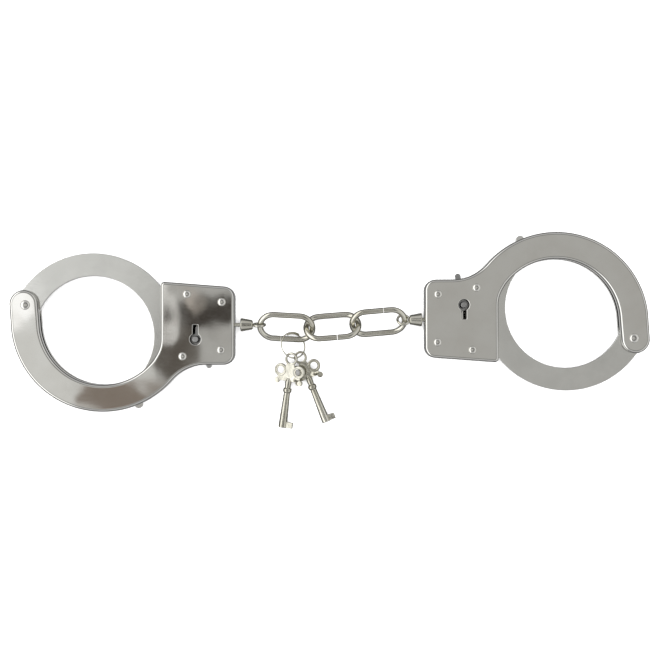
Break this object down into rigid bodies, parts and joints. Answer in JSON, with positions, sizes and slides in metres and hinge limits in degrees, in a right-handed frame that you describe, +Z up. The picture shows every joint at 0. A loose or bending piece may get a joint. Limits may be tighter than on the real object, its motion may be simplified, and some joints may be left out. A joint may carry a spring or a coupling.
{
  "type": "handcuffs",
  "caption": "Pair of nickel-plated swing-through handcuffs with ratchet arms, rivetted lock cases, swivel eyes, a short oval-link chain and barrel keys on a wire ring.",
  "frame": {"origin": "centre of the bounding box, on the surface that the rivet tails stand on", "axes": "+X along the chain from the left cuff to the right cuff, +Y across the cuffs away from the keys, +Z up through the cuffs' thickness"},
  "size_m": [0.2888, 0.0892, 0.0109],
  "materials": {
    "plate_nickel": "bright nickel plate on pressed steel",
    "chain_nickel": "bright nickel plate on wire, slightly warm",
    "key_nickel": "nickel plate on die-cast metal",
    "inner_nickel": "plain plated steel",
    "spring_steel": "drawn spring wire"
  },
  "bodies": {
    "left_cuff": {"left_front_plate": "plate_nickel", "left_rear_plate": "plate_nickel", "left_pivot_rivet": "plate_nickel", "left_case_rivet_1": "plate_nickel", "left_case_rivet_2": "plate_nickel", "left_case_rivet_3": "plate_nickel", "left_case_rivet_4": "plate_nickel", "left_key_post": "inner_nickel", "left_pawl_spring": "spring_steel"},
    "left_arm": {"left_ratchet_arm": "plate_nickel"},
    "left_pawl": {"left_pawl": "inner_nickel"},
    "left_lever": {"left_release_lever": "inner_nickel"},
    "left_swivel": {"left_swivel": "chain_nickel"},
    "right_cuff": {"right_front_plate": "plate_nickel", "right_rear_plate": "plate_nickel", "right_pivot_rivet": "plate_nickel", "right_case_rivet_1": "plate_nickel", "right_case_rivet_2": "plate_nickel", "right_case_rivet_3": "plate_nickel", "right_case_rivet_4": "plate_nickel", "right_key_post": "inner_nickel", "right_pawl_spring": "spring_steel"},
    "right_arm": {"right_ratchet_arm": "plate_nickel"},
    "right_pawl": {"right_pawl": "inner_nickel"},
    "right_lever": {"right_release_lever": "inner_nickel"},
    "right_swivel": {"right_swivel": "chain_nickel"},
    "chain_link_left": {"chain_link_left": "chain_nickel"},
    "chain_link_middle": {"chain_link_middle": "chain_nickel"},
    "chain_link_right": {"chain_link_right": "chain_nickel"},
    "key_ring": {"key_ring": "key_nickel"},
    "key_front": {"key_front": "key_nickel"},
    "key_back": {"key_back": "key_nickel"}
  },
  "joints": [
    {"name": "left_arm_swing", "type": "hinge", "parent": "left_cuff", "child": "left_arm", "pos_m": [-0.1371, 0.0116, 0.0052], "axis": [0, 0, 1], "continuous": true},
    {"name": "left_lever_turn", "type": "hinge", "parent": "left_cuff", "child": "left_lever", "pos_m": [-0.06053, -0.00384, 0.0052], "axis": [0, 0, 1], "range_deg": [-16, 10]},
    {"name": "left_pawl_pivot", "type": "hinge", "parent": "left_cuff", "child": "left_pawl", "pos_m": [-0.06429, 0.01647, 0.0052], "axis": [0, 0, 1], "range_deg": [-3.4, 5.4], "deforming": ["left_pawl_spring"]},
    {"name": "right_arm_swing", "type": "hinge", "parent": "right_cuff", "child": "right_arm", "pos_m": [0.1371, -0.00335, 0.0052], "axis": [0, 0, 1], "continuous": true},
    {"name": "right_lever_turn", "type": "hinge", "parent": "right_cuff", "child": "right_lever", "pos_m": [0.06045, 0.01168, 0.0052], "axis": [0, 0, 1], "range_deg": [0, 26]},
    {"name": "right_pawl_pivot", "type": "hinge", "parent": "right_cuff", "child": "right_pawl", "pos_m": [0.06432, -0.00861, 0.0052], "axis": [0, 0, 1], "range_deg": [-8.7, 0.1], "deforming": ["right_pawl_spring"]},
    {"name": "left_swivel_spin", "type": "hinge", "parent": "left_cuff", "child": "left_swivel", "pos_m": [-0.03202, 0.00271, 0.0052], "axis": [1, -0.0017, 0], "continuous": true},
    {"name": "left_link_swing", "type": "hinge", "parent": "left_swivel", "child": "chain_link_left", "pos_m": [-0.02937, 0.00271, 0.0052], "axis": [-0.0004, -0.2419, 0.9703], "range_deg": [-25, 25]},
    {"name": "middle_link_swing", "type": "hinge", "parent": "chain_link_left", "child": "chain_link_middle", "pos_m": [-0.00774, 0.00096, 0.0052], "axis": [0.0483, 0.8647, 0.5], "range_deg": [-30, 30]},
    {"name": "right_link_swing", "type": "hinge", "parent": "chain_link_middle", "child": "chain_link_right", "pos_m": [0.01312, 0.00288, 0.0052], "axis": [-0.0657, 0.8165, -0.5736], "range_deg": [-30, 30]},
    {"name": "right_swivel_swing", "type": "hinge", "parent": "chain_link_right", "child": "right_swivel", "pos_m": [0.03072, 0.00498, 0.0052], "axis": [0.0028, -0.788, 0.6157], "range_deg": [-10, 20]},
    {"name": "right_swivel_spin", "type": "hinge", "parent": "right_swivel", "child": "right_cuff", "pos_m": [0.03337, 0.00498, 0.0052], "axis": [1, 0.0035, 0], "continuous": true},
    {"name": "key_ring_swing", "type": "hinge", "parent": "chain_link_left", "child": "key_ring", "pos_m": [-0.01637, -0.00389, 0.00213], "axis": [0.9984, -0.0558, 0], "range_deg": [-60, 20]},
    {"name": "key_front_swing", "type": "hinge", "parent": "key_ring", "child": "key_front", "pos_m": [-0.01712, -0.01221, 0.00516], "axis": [0.8917, -0.2279, -0.3911], "range_deg": [-20, 5]},
    {"name": "key_back_swing", "type": "hinge", "parent": "key_ring", "child": "key_back", "pos_m": [-0.01355, -0.01172, 0.0032], "axis": [0.7388, 0.4472, -0.5041], "range_deg": [-6, 15]}
  ],
  "couplings": [
    {"joint": "left_pawl_pivot", "follows": "left_lever_turn", "ratio": -0.331},
    {"joint": "right_pawl_pivot", "follows": "right_lever_turn", "ratio": -0.331}
  ]
}
